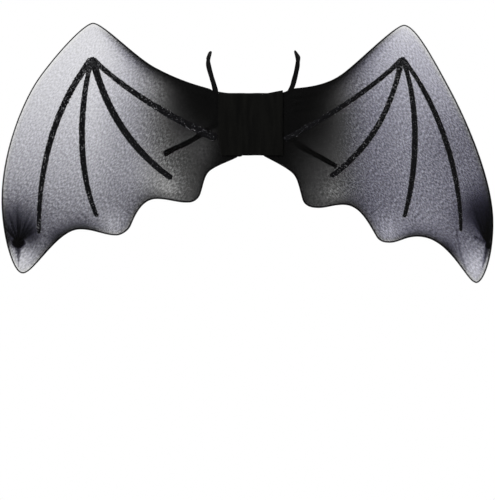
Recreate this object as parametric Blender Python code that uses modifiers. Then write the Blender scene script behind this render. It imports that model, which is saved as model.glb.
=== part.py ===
"""Costume bat wings: two bent wire loops, each inside a stocking of sheer cloth.

Metres, +Z up. The wearer stands on the +Y side, so the finished face of the wings looks
along -Y. The origin is the middle of the centre patch's face that lies on the wearer's back.
Inside the script a wing is drawn on a flat sheet: "out" runs from the middle to the wing's
edge and "up" runs upwards, and a wing's side is -1 on the left and +1 on the right.
"""

import math
from collections import namedtuple

import bmesh
import bpy
from mathutils import Vector
from mathutils.geometry import delaunay_2d_cdt, interpolate_bezier, intersect_point_line

# Wings
REACH = 0.3675             # middle to the widest point of a wing
PEAK_RISE = 0.150          # origin up to a wing's peak
TIP_DROP = 0.2325          # origin down to the level of the lower tips
SWEEP = 0.028              # how far the outer edge leans away from the wearer
WIRE_DIAMETER = 0.0022
CLOTH = 0.001              # wall of the sheer stocking
MOUTH = 0.020              # middle to the open end of each stocking, under the patch
WIRE_INSET = 0.012         # middle to the upright inner run of each wire loop
WIRE_CORNER = 0.009        # size of the wire's two bends at that run

# Ribs, patch and straps
RIB_WIDTH = 0.0073
RIB_THICKNESS = 0.001
PATCH_WIDTH = 0.0968
PATCH_HEIGHT = 0.0938
PATCH_WALL = 0.002
PATCH_SLANT = 0.0045       # how far the patch's lower left corner is cut back
PATCH_ROUNDING = 0.0014    # edges of the patch's fold
STRAP_WIDTH = 0.0066
STRAP_THICKNESS = 0.0012
SHOULDER_RISE = 0.1065     # origin up to the top of the shoulder straps
CHEST_HALF_WIDTH = 0.131   # middle to the strap at the side of the chest
CHEST_DEPTH = 0.128        # origin forward to the strap on the chest

# Folds
KNOT_HEIGHT = 0.0036       # how far the tied toe of the stocking stands proud
KNOT_RADIUS = 0.007
GATHER_RADIUS = 0.041      # reach of the folds that fan out from the knot
BUNCH_DEPTH = 0.0022       # folds of the slack cloth beside the patch
BUNCH_WIDTH = 0.034        # band below the top edge that they fill
BUNCH_LENGTH = 0.085       # from the patch outwards
BUNCH_FOLDS = 3

GAP = 0.0003               # clearance between pieces that touch
CLEAR_EDGE = 0.005         # strip along the wire that has no folds
WEB_PITCH = 0.027          # spacing of the points inside the cloth

# Shares that ease one shape into the next
GATHER_FADE = 1.5          # how fast the folds round the knot die out
BUNCH_START = 0.17         # of BUNCH_LENGTH, where the slack folds rise
BUNCH_FADE = 0.67          # of BUNCH_LENGTH, where they die out
ROOT_HANDLE = 0.2          # of half the patch's width, the wire's curves beside the patch
MOUTH_HANDLE = 0.06
STRAP_LEVEL = 0.6          # in strap widths past the patch, where a strap starts to leave it
STRAP_EASE = 2.0           # in strap widths, how long it takes to do so
STRAP_RISE = 0.15          # of CHEST_DEPTH, the same for a strap that rises off the back
STRAP_TURN = 0.3           # of CHEST_DEPTH, where its flat side has turned to the body's side
FOLD_SPACING = 0.7         # in clear edges, the least between two points of the folds
WEB_SPACING = 0.45         # in pitches, the least between other points of the cloth

# Shapes worked out from the sizes above
WIRE_RADIUS = WIRE_DIAMETER / 2
LAYER_OFFSET = WIRE_RADIUS + GAP + CLOTH / 2
STOCKING_HALF = LAYER_OFFSET + CLOTH / 2
PATCH_DEPTH = 2 * PATCH_WALL + STRAP_THICKNESS + 2 * STOCKING_HALF + 3 * GAP
HALF_WIDTH = PATCH_WIDTH / 2
HALF_HEIGHT = PATCH_HEIGHT / 2
STRAP_Y = -(PATCH_WALL + GAP + STRAP_THICKNESS / 2)
ROOT_Y = -(PATCH_WALL + GAP + STRAP_THICKNESS + GAP + STOCKING_HALF)
ROOT_TOP = HALF_HEIGHT - PATCH_WALL - GAP - STOCKING_HALF
SWEEP_START = HALF_WIDTH + STRAP_WIDTH
CUTTER_THICKNESS = 3 * RIB_THICKNESS

# A wing's outline is a row of anchors joined by smooth curves. "out" is a share of REACH, "up"
# a share of PEAK_RISE above the origin and of TIP_DROP below it, "heading" the direction of
# travel in degrees, "before" and "after" the handles as shares of REACH, and "steps" the
# number of straight pieces up to the next anchor.
Anchor = namedtuple("Anchor", "name out up heading before after steps")
OUTLINES = {
    "left": (
        Anchor("arm", 0.390, 0.556, 28, 0.130, 0.100, 9),
        Anchor("peak", 0.643, 1.006, 0, 0.030, 0.036, 9),
        Anchor("edge", 0.859, 0.460, -55, 0.115, 0.120, 9),
        Anchor("bulge", 1.012, -0.490, -90, 0.180, 0.115, 10),
        Anchor("tip", 0.927, -0.961, 180, 0.044, 0.034, 9),
        Anchor("hollow_1", 0.696, -0.681, 180, 0.100, 0.060, 5),
        Anchor("point_1", 0.548, -0.715, 178, 0.045, 0.020, 4),
        Anchor("rise_1", 0.488, -0.650, 112, 0.024, 0.050, 5),
        Anchor("hollow_2", 0.384, -0.478, 180, 0.060, 0.050, 5),
        Anchor("point_2", 0.251, -0.501, 176, 0.045, 0.020, 4),
        Anchor("rise_2", 0.208, -0.445, 108, 0.022, 0.040, 4),
        Anchor("hollow_3", 0.171, -0.300, 137, 0.030, 0.030, 3),
    ),
    "right": (
        Anchor("arm", 0.376, 0.492, 36, 0.095, 0.090, 9),
        Anchor("peak", 0.628, 0.986, -4, 0.044, 0.034, 9),
        Anchor("edge", 0.814, 0.340, -62, 0.150, 0.120, 9),
        Anchor("bulge", 0.989, -0.640, -90, 0.215, 0.110, 10),
        Anchor("tip", 0.920, -1.022, 180, 0.024, 0.024, 9),
        Anchor("hollow_1", 0.682, -0.722, 180, 0.105, 0.060, 5),
        Anchor("point_1", 0.551, -0.760, 170, 0.050, 0.014, 4),
        Anchor("rise_1", 0.512, -0.722, 120, 0.018, 0.070, 5),
        Anchor("hollow_2", 0.380, -0.516, 180, 0.068, 0.050, 5),
        Anchor("point_2", 0.263, -0.535, 174, 0.045, 0.022, 4),
        Anchor("rise_2", 0.216, -0.482, 106, 0.024, 0.045, 4),
        Anchor("hollow_3", 0.178, -0.318, 132, 0.030, 0.030, 3),
    ),
}

# Where the outline slips under the patch, in shares of the patch's half sizes. The patch's top
# edge is level up to "level_out", and from there it rises with the wire to "corner_rise".
Root = namedtuple("Root", "level_out corner_rise top_out top_up top_heading "
                          "bottom_out bottom_up bottom_heading")
ROOTS = {
    "left": Root(0.70, 0.046, 1.28, 1.105, 20, 0.52, -1.08, 154),
    "right": Root(0.54, 0.090, 1.28, 1.105, 12, 0.62, -1.10, 152),
}

# The glitter ribs: where each starts and ends, its headings there, the handles as shares of
# REACH and the widths as shares of RIB_WIDTH.
Rib = namedtuple("Rib", "name out up heading handle end_out end_up end_heading end_handle "
                        "width end_width steps")
RIBS = {
    "left": (
        Rib("arm", 0.643, 0.650, -136, 0.180, 0.133, -0.090, -158, 0.180, 1.00, 1.05, 18),
        Rib("finger_1", 0.643, 0.650, -51, 0.240, 0.862, -0.709, -91, 0.270, 1.05, 0.75, 16),
        Rib("finger_2", 0.650, 0.630, -75, 0.170, 0.626, -0.600, -114, 0.220, 1.05, 0.95, 14),
        Rib("finger_3", 0.642, 0.630, -104, 0.220, 0.321, -0.353, -145, 0.190, 1.10, 1.05, 14),
    ),
    "right": (
        Rib("arm", 0.622, 0.650, -136, 0.170, 0.133, -0.100, -154, 0.200, 1.00, 1.05, 18),
        Rib("finger_1", 0.622, 0.650, -51, 0.200, 0.857, -0.693, -90, 0.270, 1.05, 0.85, 16),
        Rib("finger_2", 0.628, 0.630, -70, 0.190, 0.628, -0.603, -106, 0.200, 0.95, 0.95, 14),
        Rib("finger_3", 0.616, 0.630, -101, 0.270, 0.328, -0.342, -143, 0.140, 1.05, 1.15, 14),
    ),
}

# The tied toe of each stocking: its place, and the fan of folds around it.
Gather = namedtuple("Gather", "out up folds")
GATHERS = {
    "left": Gather(0.951, -0.770, 9),
    "right": Gather(0.955, -0.785, 9),
}
GATHER_RINGS = (0.17, 0.40, 0.68, 1.0)

# A strap runs from inside the patch over the shoulder, down the chest, under the arm and back
# to the patch. "across" is a share of CHEST_HALF_WIDTH, "forward" of CHEST_DEPTH and "up" of
# SHOULDER_RISE.
Turn = namedtuple("Turn", "name across forward up")
STRAP_ROUTES = {
    "left": (
        Turn("corner", 0.400, 0.000, 0.380),
        Turn("back", 0.400, 0.000, 0.475),
        Turn("blade", 0.452, 0.060, 0.690),
        Turn("shoulder_back", 0.470, 0.180, 0.890),
        Turn("shoulder", 0.485, 0.400, 1.000),
        Turn("shoulder_front", 0.470, 0.680, 0.900),
        Turn("collar", 0.445, 0.900, 0.620),
        Turn("chest", 0.600, 1.000, 0.180),
        Turn("arm_front", 0.860, 0.920, -0.220),
        Turn("side", 1.000, 0.600, -0.430),
        Turn("arm_back", 0.960, 0.300, -0.400),
        Turn("flank", 0.700, 0.110, -0.240),
        Turn("waist", 0.500, 0.040, -0.070),
    ),
    "right": (
        Turn("back", 0.455, 0.000, 0.470),
        Turn("blade", 0.510, 0.060, 0.660),
        Turn("shoulder_back", 0.550, 0.180, 0.880),
        Turn("shoulder", 0.545, 0.400, 1.000),
        Turn("shoulder_front", 0.550, 0.680, 0.880),
        Turn("collar", 0.505, 0.900, 0.600),
        Turn("chest", 0.630, 1.000, 0.130),
        Turn("arm_front", 0.870, 0.920, -0.330),
        Turn("side", 1.000, 0.600, -0.590),
        Turn("arm_back", 0.955, 0.300, -0.575),
        Turn("flank", 0.740, 0.110, -0.420),
        Turn("waist", 0.560, 0.040, -0.280),
    ),
}
STRAP_STEPS = 4

# Where the two ends of a strap lie inside the patch, in shares of the patch's half sizes.
StrapEnds = namedtuple("StrapEnds", "upper_out upper_up lower_out lower_up")
STRAP_ENDS = {
    "left": StrapEnds(0.84, 0.46, 0.60, 0.22),
    "right": StrapEnds(0.80, 0.34, 0.66, -0.14),
}

SIDES = {"left": -1, "right": 1}
Paint = namedtuple("Paint", "name colour roughness metallic")
WIRE_PAINT = Paint("black_wire", (0.03, 0.03, 0.033), 0.35, 1.0)
SHEER_PAINT = Paint("sheer_nylon", (0.09, 0.088, 0.095), 0.75, 0.0)
GLITTER_PAINT = Paint("black_glitter", (0.02, 0.02, 0.022), 0.45, 0.2)
FELT_PAINT = Paint("black_felt", (0.006, 0.006, 0.006), 0.95, 0.0)
ELASTIC_PAINT = Paint("black_elastic", (0.012, 0.012, 0.012), 0.8, 0.0)


def start_empty():
    """Remove the scene's objects and make the two collections."""
    for old in list(bpy.data.objects):
        bpy.data.objects.remove(old, do_unlink=True)
    kept = bpy.data.collections.new("bat_wings")
    cutters = bpy.data.collections.new("cutters")
    bpy.context.scene.collection.children.link(kept)
    bpy.context.scene.collection.children.link(cutters)
    return kept, cutters


def material(paint):
    made = bpy.data.materials.get(paint.name) or bpy.data.materials.new(paint.name)
    made.use_nodes = True
    shader = made.node_tree.nodes["Principled BSDF"]
    shader.inputs["Base Color"].default_value = (*paint.colour, 1.0)
    shader.inputs["Roughness"].default_value = paint.roughness
    shader.inputs["Metallic"].default_value = paint.metallic
    return made


def add_object(name, data, paint, collection):
    piece = bpy.data.objects.new(name, data)
    piece.data.materials.append(material(paint))
    collection.objects.link(piece)
    return piece


def add_wall(piece, thickness, offset=0.0):
    wall = piece.modifiers.new("wall", "SOLIDIFY")
    wall.thickness = thickness
    wall.offset = offset
    wall.use_even_offset = True


def smooth_step(value):
    value = min(max(value, 0.0), 1.0)
    return value * value * (3 - 2 * value)


def upright(share):
    """Height of a share of the wing: of the peak's rise above the origin, the drop below it."""
    return share * (PEAK_RISE if share > 0 else TIP_DROP)


def turned(degrees):
    return Vector((math.cos(math.radians(degrees)), math.sin(math.radians(degrees))))


def left_normal(points, index):
    """Unit vector to the left of a flat route at one of its points."""
    before = points[max(index - 1, 0)]
    after = points[min(index + 1, len(points) - 1)]
    along = (after - before).normalized()
    return Vector((-along.y, along.x))


def depth_at(out):
    """Y of the middle of the stocking, flat behind the patch and swept back beyond it."""
    share = max(out - SWEEP_START, 0.0) / (REACH - SWEEP_START)
    return ROOT_Y - SWEEP * share * share


def top_rise(side, out):
    """How far the patch's top edge, and the wire under it, stand above their level stretch."""
    root = ROOTS[side]
    slope = root.corner_rise * HALF_HEIGHT / ((1 - root.level_out) * HALF_WIDTH)
    return slope * max(out - root.level_out * HALF_WIDTH, 0.0)


def outline_anchors(side):
    """Anchors as (point, heading, handle before, handle after, steps), from mouth to mouth."""
    root = ROOTS[side]
    level = root.level_out * HALF_WIDTH
    corner = HALF_WIDTH + STOCKING_HALF
    rise = top_rise(side, corner)
    slope = math.degrees(math.atan2(rise, corner - level))
    handle = ROOT_HANDLE * HALF_WIDTH
    bottom_handle = MOUTH_HANDLE * HALF_WIDTH
    rows = [
        (Vector((MOUTH, ROOT_TOP)), 0, 0.0, bottom_handle, 1),
        (Vector((level, ROOT_TOP)), 0, bottom_handle, bottom_handle, 1),
        (Vector((corner, ROOT_TOP + rise)), slope, bottom_handle, handle / 2, 3),
        (Vector((root.top_out * HALF_WIDTH, root.top_up * HALF_HEIGHT)),
         root.top_heading, handle / 2, handle, 4),
    ]
    for row in OUTLINES[side]:
        rows.append((Vector((row.out * REACH, upright(row.up))), row.heading,
                     row.before * REACH, row.after * REACH, row.steps))
    bottom = Vector((root.bottom_out * HALF_WIDTH, root.bottom_up * HALF_HEIGHT))
    fall = math.tan(math.radians(180 - root.bottom_heading))
    rows.append((bottom, root.bottom_heading, handle, bottom_handle, 1))
    rows.append((Vector((MOUTH, bottom.y + (bottom.x - MOUTH) * fall)),
                 root.bottom_heading, bottom_handle, 0.0, 1))
    return rows


def outline(side):
    """Flat route of the wire from the mouth's top, round the wing, to the mouth's bottom."""
    rows = outline_anchors(side)
    points = []
    for start, end in zip(rows, rows[1:]):
        place, heading, _, handle, steps = start
        end_place, end_heading, end_handle, _, _ = end
        curve = interpolate_bezier(place.to_3d(), (place + turned(heading) * handle).to_3d(),
                                   (end_place - turned(end_heading) * end_handle).to_3d(),
                                   end_place.to_3d(), steps + 1)
        points += [point.to_2d() for point in curve[:-1]]
    return points + [rows[-1][0]]


def moved_inwards(points, distance):
    """The route moved sideways towards the wing's inside, which lies to its right."""
    return [point - left_normal(points, i) * distance for i, point in enumerate(points)]


def distance_to(point, route):
    nearest = math.inf
    for start, end in zip(route, route[1:]):
        foot, share = intersect_point_line(point, start, end)
        if share < 0:
            foot = start.to_3d()
        elif share > 1:
            foot = end.to_3d()
        nearest = min(nearest, (foot.to_2d() - point).length)
    return nearest


def is_inside(point, loop):
    inside = False
    for start, end in zip(loop, loop[1:] + loop[:1]):
        if (start.y > point.y) != (end.y > point.y):
            crossing = start.x + (point.y - start.y) / (end.y - start.y) * (end.x - start.x)
            if crossing > point.x:
                inside = not inside
    return inside


def gather_fold(point, side):
    """How far the cloth stands proud around the tied toe."""
    row = GATHERS[side]
    arm = point - Vector((row.out * REACH, upright(row.up)))
    if arm.length >= GATHER_RADIUS:
        return 0.0
    knot = math.exp(-(arm.length / KNOT_RADIUS) ** 2)
    ridge = 0.5 + 0.5 * math.cos(row.folds * math.atan2(arm.y, arm.x))
    fade = (1 - arm.length / GATHER_RADIUS) ** GATHER_FADE
    return KNOT_HEIGHT * fade * (knot + (1 - knot) * ridge)


def bunch_fold(point, below_top):
    """How far the slack cloth beside the patch stands proud, below the top edge."""
    along = (point.x - SWEEP_START) / BUNCH_LENGTH
    across = (below_top - CLEAR_EDGE) / (BUNCH_WIDTH - CLEAR_EDGE)
    if not (0 < along < 1 and 0 < across < 1):
        return 0.0
    rise = smooth_step(along / BUNCH_START) * smooth_step((1 - along) / BUNCH_FADE)
    return BUNCH_DEPTH * rise * (0.5 - 0.5 * math.cos(math.tau * BUNCH_FOLDS * across))


def web_points(side, route):
    """Points inside the cloth: rings round the knot, the bunched band, and a plain grid."""
    row = GATHERS[side]
    knot = Vector((row.out * REACH, upright(row.up)))
    places = [knot]
    for share in GATHER_RINGS:
        for turn in range(2 * row.folds):
            places.append(knot + turned(180 / row.folds * turn) * share * GATHER_RADIUS)
    for line in range(2 * BUNCH_FOLDS):
        depth = CLEAR_EDGE + (line + 1) / (2 * BUNCH_FOLDS) * (BUNCH_WIDTH - CLEAR_EDGE)
        for start, place in zip(route, moved_inwards(route, depth)):
            if start.y > 0 and HALF_WIDTH < start.x < SWEEP_START + BUNCH_LENGTH:
                places.append(place)
    folded = len(places)
    rows = math.ceil((PEAK_RISE + TIP_DROP) / WEB_PITCH)
    columns = math.ceil(REACH / WEB_PITCH)
    for i in range(rows):
        for j in range(columns):
            places.append(Vector(((j + i % 2 / 2) * WEB_PITCH, i * WEB_PITCH - TIP_DROP)))
    border = moved_inwards(route, CLEAR_EDGE)
    loop = border + [Vector((MOUTH, border[-1].y)), Vector((MOUTH, border[0].y))]
    kept = []
    for i, place in enumerate(places):
        spacing = FOLD_SPACING * CLEAR_EDGE if i < folded else WEB_SPACING * WEB_PITCH
        near = min(((place - other).length for other in kept), default=spacing)
        if near >= spacing and is_inside(place, loop) and distance_to(place, border) > spacing:
            kept.append(place)
    return kept


def stocking(side, route, collection):
    """A flat bag of sheer cloth round the wire: two layers, joined at the rim, open at the mouth."""
    rim = moved_inwards(route, -LAYER_OFFSET)
    rim[0].x = MOUTH
    rim[-1].x = MOUTH
    border = moved_inwards(route, CLEAR_EDGE)
    border[0].x = MOUTH
    border[-1].x = MOUTH
    inner = web_points(side, route)
    flat = rim + list(reversed(border[:1] + border[-1:])) + border[1:-1] + inner
    loop_size = len(rim) + 2
    edges = [(i, (i + 1) % loop_size) for i in range(loop_size)]
    found = delaunay_2d_cdt(flat, edges, [], 1, GAP / 10)
    mesh = bmesh.new()
    top_route = route[:len(route) // 2]
    corners = []
    for place in found[0]:
        edge_fade = smooth_step((distance_to(place, route) - CLEAR_EDGE) / (2 * CLEAR_EDGE))
        proud = gather_fold(place, side) * edge_fade
        proud += bunch_fold(place, distance_to(place, top_route))
        corners.append(mesh.verts.new((SIDES[side] * place.x,
                                       depth_at(place.x) - proud - LAYER_OFFSET, place.y)))
    for face in found[2]:
        mesh.faces.new([corners[i] for i in face])
    grown = bmesh.ops.extrude_face_region(mesh, geom=mesh.faces[:], use_keep_orig=True)
    back = [part for part in grown["geom"] if isinstance(part, bmesh.types.BMVert)]
    bmesh.ops.translate(mesh, vec=(0, 2 * LAYER_OFFSET, 0), verts=back)
    ends = [face for face in mesh.faces
            if all(abs(abs(corner.co.x) - MOUTH) < GAP for corner in face.verts)]
    bmesh.ops.delete(mesh, geom=ends, context="FACES_ONLY")
    bmesh.ops.recalc_face_normals(mesh, faces=mesh.faces[:])
    data = bpy.data.meshes.new(f"wing_membrane_{side}")
    mesh.to_mesh(data)
    mesh.free()
    piece = add_object(f"wing_membrane_{side}", data, SHEER_PAINT, collection)
    add_wall(piece, CLOTH)


def wire_loop(side, route, collection):
    """A closed loop of bent wire along the outline, with a straight inner run."""
    top = Vector((WIRE_INSET, ROOT_TOP - WIRE_CORNER))
    bottom = Vector((WIRE_INSET, route[-1].y + WIRE_CORNER))
    lower = interpolate_bezier(route[-1].to_3d(), Vector((WIRE_INSET, route[-1].y, 0)),
                               Vector((WIRE_INSET, route[-1].y, 0)), bottom.to_3d(), 4)
    upper = interpolate_bezier(top.to_3d(), Vector((WIRE_INSET, ROOT_TOP, 0)),
                               Vector((WIRE_INSET, ROOT_TOP, 0)), route[0].to_3d(), 4)
    points = route + [p.to_2d() for p in lower[1:]] + [p.to_2d() for p in upper[:-1]]
    curve = bpy.data.curves.new(f"wire_frame_{side}", "CURVE")
    curve.dimensions = "3D"
    curve.bevel_depth = WIRE_RADIUS
    curve.bevel_resolution = 1
    spline = curve.splines.new("POLY")
    spline.points.add(len(points) - 1)
    for slot, place in zip(spline.points, points):
        slot.co = (SIDES[side] * place.x, depth_at(place.x), place.y, 1.0)
    spline.use_cyclic_u = True
    add_object(f"wire_frame_{side}", curve, WIRE_PAINT, collection)


def ribbon(name, centres, halves, thickness, paint, collection):
    """A flat strip: a row of centres, each with the vector to its edge."""
    mesh = bmesh.new()
    bmesh.ops.create_grid(mesh, x_segments=len(centres) - 1, y_segments=1, size=0.5)
    for corner in mesh.verts:
        index = round((corner.co.x + 0.5) * (len(centres) - 1))
        corner.co = centres[index] + halves[index] * (1 if corner.co.y > 0 else -1)
    data = bpy.data.meshes.new(name)
    mesh.to_mesh(data)
    mesh.free()
    piece = add_object(name, data, paint, collection)
    add_wall(piece, thickness)
    return piece


def rib_strip(name, side, row, grow, thickness, collection):
    """One glitter rib on the outer layer, or its cutter when it is grown."""
    start = Vector((row.out * REACH, upright(row.up)))
    end = Vector((row.end_out * REACH, upright(row.end_up)))
    slant = abs(turned(row.end_heading).y) * RIB_WIDTH * row.end_width / 2
    end.x = max(end.x, HALF_WIDTH + GAP + slant)
    curve = interpolate_bezier(
        start.to_3d(), (start + turned(row.heading) * row.handle * REACH).to_3d(),
        (end - turned(row.end_heading) * row.end_handle * REACH).to_3d(), end.to_3d(),
        row.steps + 1)
    route = [point.to_2d() for point in curve]
    centres = []
    halves = []
    for i, place in enumerate(route):
        share = i / row.steps
        width = RIB_WIDTH * (row.width + (row.end_width - row.width) * share) + 2 * grow
        across = left_normal(route, i) * width / 2
        y = depth_at(place.x) - STOCKING_HALF - GAP - RIB_THICKNESS / 2
        centres.append(Vector((SIDES[side] * place.x, y, place.y)))
        tip_y = depth_at(place.x + across.x) - depth_at(place.x)
        halves.append(Vector((SIDES[side] * across.x, tip_y, across.y)))
    return ribbon(name, centres, halves, thickness, GLITTER_PAINT, collection)


def ribs(side, collection, cutters):
    """Four ribs from one point, each cut back by those before it."""
    earlier = []
    for row in RIBS[side]:
        piece = rib_strip(f"rib_{row.name}_{side}", side, row, 0, RIB_THICKNESS, collection)
        for cutter in earlier:
            cut = piece.modifiers.new(cutter.name, "BOOLEAN")
            cut.operation = "DIFFERENCE"
            cut.object = cutter
        cutter = rib_strip(f"cutter_{row.name}_{side}", side, row, GAP, CUTTER_THICKNESS,
                           cutters)
        cutter.hide_render = True
        cutter.display_type = "WIRE"
        earlier.append(cutter)


def through(points, steps):
    """A smooth route through points, with a number of steps between each two."""
    route = []
    for i in range(len(points) - 1):
        here = points[i]
        there = points[i + 1]
        leave = (there - points[max(i - 1, 0)]) / 6
        arrive = (points[min(i + 2, len(points) - 1)] - here) / 6
        route += interpolate_bezier(here, here + leave, there - arrive, there, steps + 1)[:-1]
    return route + [points[-1]]


def strap(side, collection):
    """An elastic loop, flat on the body, with both ends inside the patch."""
    ends = STRAP_ENDS[side]
    points = [Vector((ends.upper_out * HALF_WIDTH, STRAP_Y, ends.upper_up * HALF_HEIGHT))]
    for turn in STRAP_ROUTES[side]:
        points.append(Vector((turn.across * CHEST_HALF_WIDTH, STRAP_Y
                              + turn.forward * (CHEST_DEPTH - STRAP_Y),
                              turn.up * SHOULDER_RISE)))
    points.append(Vector((ends.lower_out * HALF_WIDTH, STRAP_Y, ends.lower_up * HALF_HEIGHT)))
    route = through(points, STRAP_STEPS)
    for place in route:
        past_patch = (place.x - HALF_WIDTH) / STRAP_WIDTH
        beside = smooth_step((past_patch - STRAP_LEVEL) / STRAP_EASE)
        forward = smooth_step((place.y - STRAP_Y) / (STRAP_RISE * CHEST_DEPTH))
        place.y = STRAP_Y + (place.y - STRAP_Y) * max(beside, forward)
    middle = Vector((0, CHEST_DEPTH / 2, 0))
    halves = []
    for i, place in enumerate(route):
        along = (route[min(i + 1, len(route) - 1)] - route[max(i - 1, 0)]).normalized()
        off_back = smooth_step((place.y - STRAP_Y) / (STRAP_TURN * CHEST_DEPTH))
        outward = Vector((0, -1, 0)).lerp((place - middle).normalized(), off_back)
        halves.append(along.cross(outward).normalized() * STRAP_WIDTH / 2)
    mirror = Vector((SIDES[side], 1, 1))
    ribbon(f"shoulder_strap_{side}", [p * mirror for p in route], [h * mirror for h in halves],
           STRAP_THICKNESS, ELASTIC_PAINT, collection)


def centre_patch(collection):
    """A felt strip folded over the top of the wing roots, open below and at both sides."""
    top = HALF_HEIGHT
    bottom = -top
    front = -PATCH_DEPTH
    profile = [(front, bottom), (front, bottom / 2), (front, 0.0), (front, top - PATCH_ROUNDING),
               (front + PATCH_ROUNDING, top), (-PATCH_ROUNDING, top), (0.0, top - PATCH_ROUNDING),
               (0.0, 0.0), (0.0, bottom / 2), (0.0, bottom)]
    columns = [(side, share * HALF_WIDTH) for side, share in (
        ("left", 1.0), ("left", ROOTS["left"].level_out),
        ("right", ROOTS["right"].level_out), ("right", 1.0))]
    mesh = bmesh.new()
    bmesh.ops.create_grid(mesh, x_segments=len(columns) - 1, y_segments=len(profile) - 1,
                          size=0.5)
    for corner in mesh.verts:
        y, z = profile[round((corner.co.y + 0.5) * (len(profile) - 1))]
        column = round((corner.co.x + 0.5) * (len(columns) - 1))
        side, out = columns[column]
        cut_back = PATCH_SLANT * (z / bottom) ** 2 if column == 0 and z < 0 else 0.0
        rise = top_rise(side, out) if z > 0 else 0.0
        corner.co = Vector((SIDES[side] * out + cut_back, y, z + rise))
    bmesh.ops.recalc_face_normals(mesh, faces=mesh.faces[:])
    data = bpy.data.meshes.new("centre_patch")
    mesh.to_mesh(data)
    mesh.free()
    piece = add_object("centre_patch", data, FELT_PAINT, collection)
    outwards = data.polygons[0].normal.y * (data.polygons[0].center.y - front / 2) > 0
    add_wall(piece, PATCH_WALL, -1.0 if outwards else 1.0)


def build():
    kept, cutters = start_empty()
    for side in SIDES:
        route = outline(side)
        wire_loop(side, route, kept)
        stocking(side, route, kept)
        ribs(side, kept, cutters)
        strap(side, kept)
    centre_patch(kept)


build()
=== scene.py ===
"""Looks of the costume bat wings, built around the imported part.

Metres, +Z up. The finished face of the wings looks along -Y. As in the part's own drawing, a
wing is laid out on a flat sheet: "out" runs from the middle to the wing's edge and "up" runs
upwards, and a wing's side is -1 on the left and +1 on the right.
"""

import math
import random
from collections import namedtuple

import bmesh
import bpy
from mathutils import Euler, Matrix, Vector, noise
from mathutils.geometry import interpolate_bezier, intersect_point_line
from mathutils.kdtree import KDTree


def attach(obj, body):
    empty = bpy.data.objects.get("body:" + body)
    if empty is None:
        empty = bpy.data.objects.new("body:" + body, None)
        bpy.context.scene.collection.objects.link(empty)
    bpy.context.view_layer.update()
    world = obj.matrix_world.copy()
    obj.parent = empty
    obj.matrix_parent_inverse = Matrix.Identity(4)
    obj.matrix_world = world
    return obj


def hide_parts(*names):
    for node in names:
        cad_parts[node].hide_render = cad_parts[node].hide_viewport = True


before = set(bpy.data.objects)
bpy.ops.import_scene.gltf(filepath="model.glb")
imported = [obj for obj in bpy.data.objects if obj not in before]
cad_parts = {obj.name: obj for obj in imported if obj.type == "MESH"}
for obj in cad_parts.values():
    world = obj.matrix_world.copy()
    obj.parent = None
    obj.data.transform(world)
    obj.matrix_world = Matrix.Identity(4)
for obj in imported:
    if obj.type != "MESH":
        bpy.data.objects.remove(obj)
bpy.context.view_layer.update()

# Sizes of the part that the looks follow
REACH = 0.3675
PEAK_RISE = 0.150
TIP_DROP = 0.2325
SWEEP = 0.028
WIRE_RADIUS = 0.0011
WIRE_LINE = 0.0009         # its radius as it shows through the cloth
MOUTH = 0.020
WIRE_INSET = 0.012
WIRE_CORNER = 0.009
RIB_WIDTH = 0.0073
HALF_WIDTH = 0.0484
HALF_HEIGHT = 0.0469
PATCH_WALL = 0.002
PATCH_SLANT = 0.0045
PATCH_DEPTH = 0.0109
STRAP_WIDTH = 0.0066
STRAP_THICKNESS = 0.0012
SHOULDER_RISE = 0.1065
CHEST_HALF_WIDTH = 0.131
CHEST_DEPTH = 0.128
KNOT_HEIGHT = 0.0036
KNOT_RADIUS = 0.007
GATHER_RADIUS = 0.041
GATHER_FADE = 1.5
BUNCH_DEPTH = 0.0022
BUNCH_WIDTH = 0.034
BUNCH_LENGTH = 0.085
BUNCH_FOLDS = 3
BUNCH_START = 0.17
BUNCH_FADE = 0.67
CLEAR_EDGE = 0.005
STOCKING_HALF = 0.0024
ROOT_Y = -0.0062
ROOT_TOP = 0.0422
STRAP_Y = -0.0029
SWEEP_START = HALF_WIDTH + STRAP_WIDTH
SIDES = {"left": -1, "right": 1}

# The sheer cloth
KNIT = 0.0003              # wall of the knit
KNIT_SLANT = -42           # degrees, of its threads
THREAD_SCALE = 730.0       # of the pattern of threads
THREAD_LENGTH = 3.2        # how far it is drawn out along them
LOOP_SCALE = 1100.0        # of the finer pattern of loops
THREAD_SHARE = 0.75        # of the threads in both patterns together
THREAD_CONTRAST = 0.72     # how much denser a thread is than a gap beside it
CLOUD_CONTRAST = 0.1       # the same of the broad faint clouds in the knit
CALM_DEPTH = (0.9, 1.7)    # of the cloth, where the threads begin to merge, and have merged
CALM_SHARE = 0.85          # of their contrast that goes there
LAYER_OFFSET = 0.00155     # wing's middle plane to the middle of each layer
CUT_PITCH = 0.003          # squares that the cloth is cut into
FAN_RADIUS = 0.072         # round the tied toe, where they are halved
TOE_RADIUS = 0.036         # and halved again
RIM_STEPS = 6              # from the front layer round the wire to the back layer
OUTER_SHARE = 0.42         # of the cloth's depth, in the outer face of each layer
INNER_SHARE = 0.08         # and in the inner face
LEAST_DEPTH = 0.3
EDGE_THINNING = 0.6        # how much thinner light cloth looks right beside the wire
EDGE_BAND = 0.0022
EDGE_LIGHT = 1.8           # depth up to which cloth counts as light there
GLEAM = {"left": 1.2, "right": 1.95}    # lilac gleam of the threads where the cloth is thin
GLEAM_COLOUR = (0.24, 0.232, 0.50, 1.0)
GLEAM_SPREAD = 0.68        # share of it that follows the threads
GLEAM_FADE = 0.65          # how it fades with the cloth's depth
GLEAM_START = 0.125        # from the middle, where it sets in
GLEAM_FULL = 0.190
MERGE = 0.00001

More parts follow.
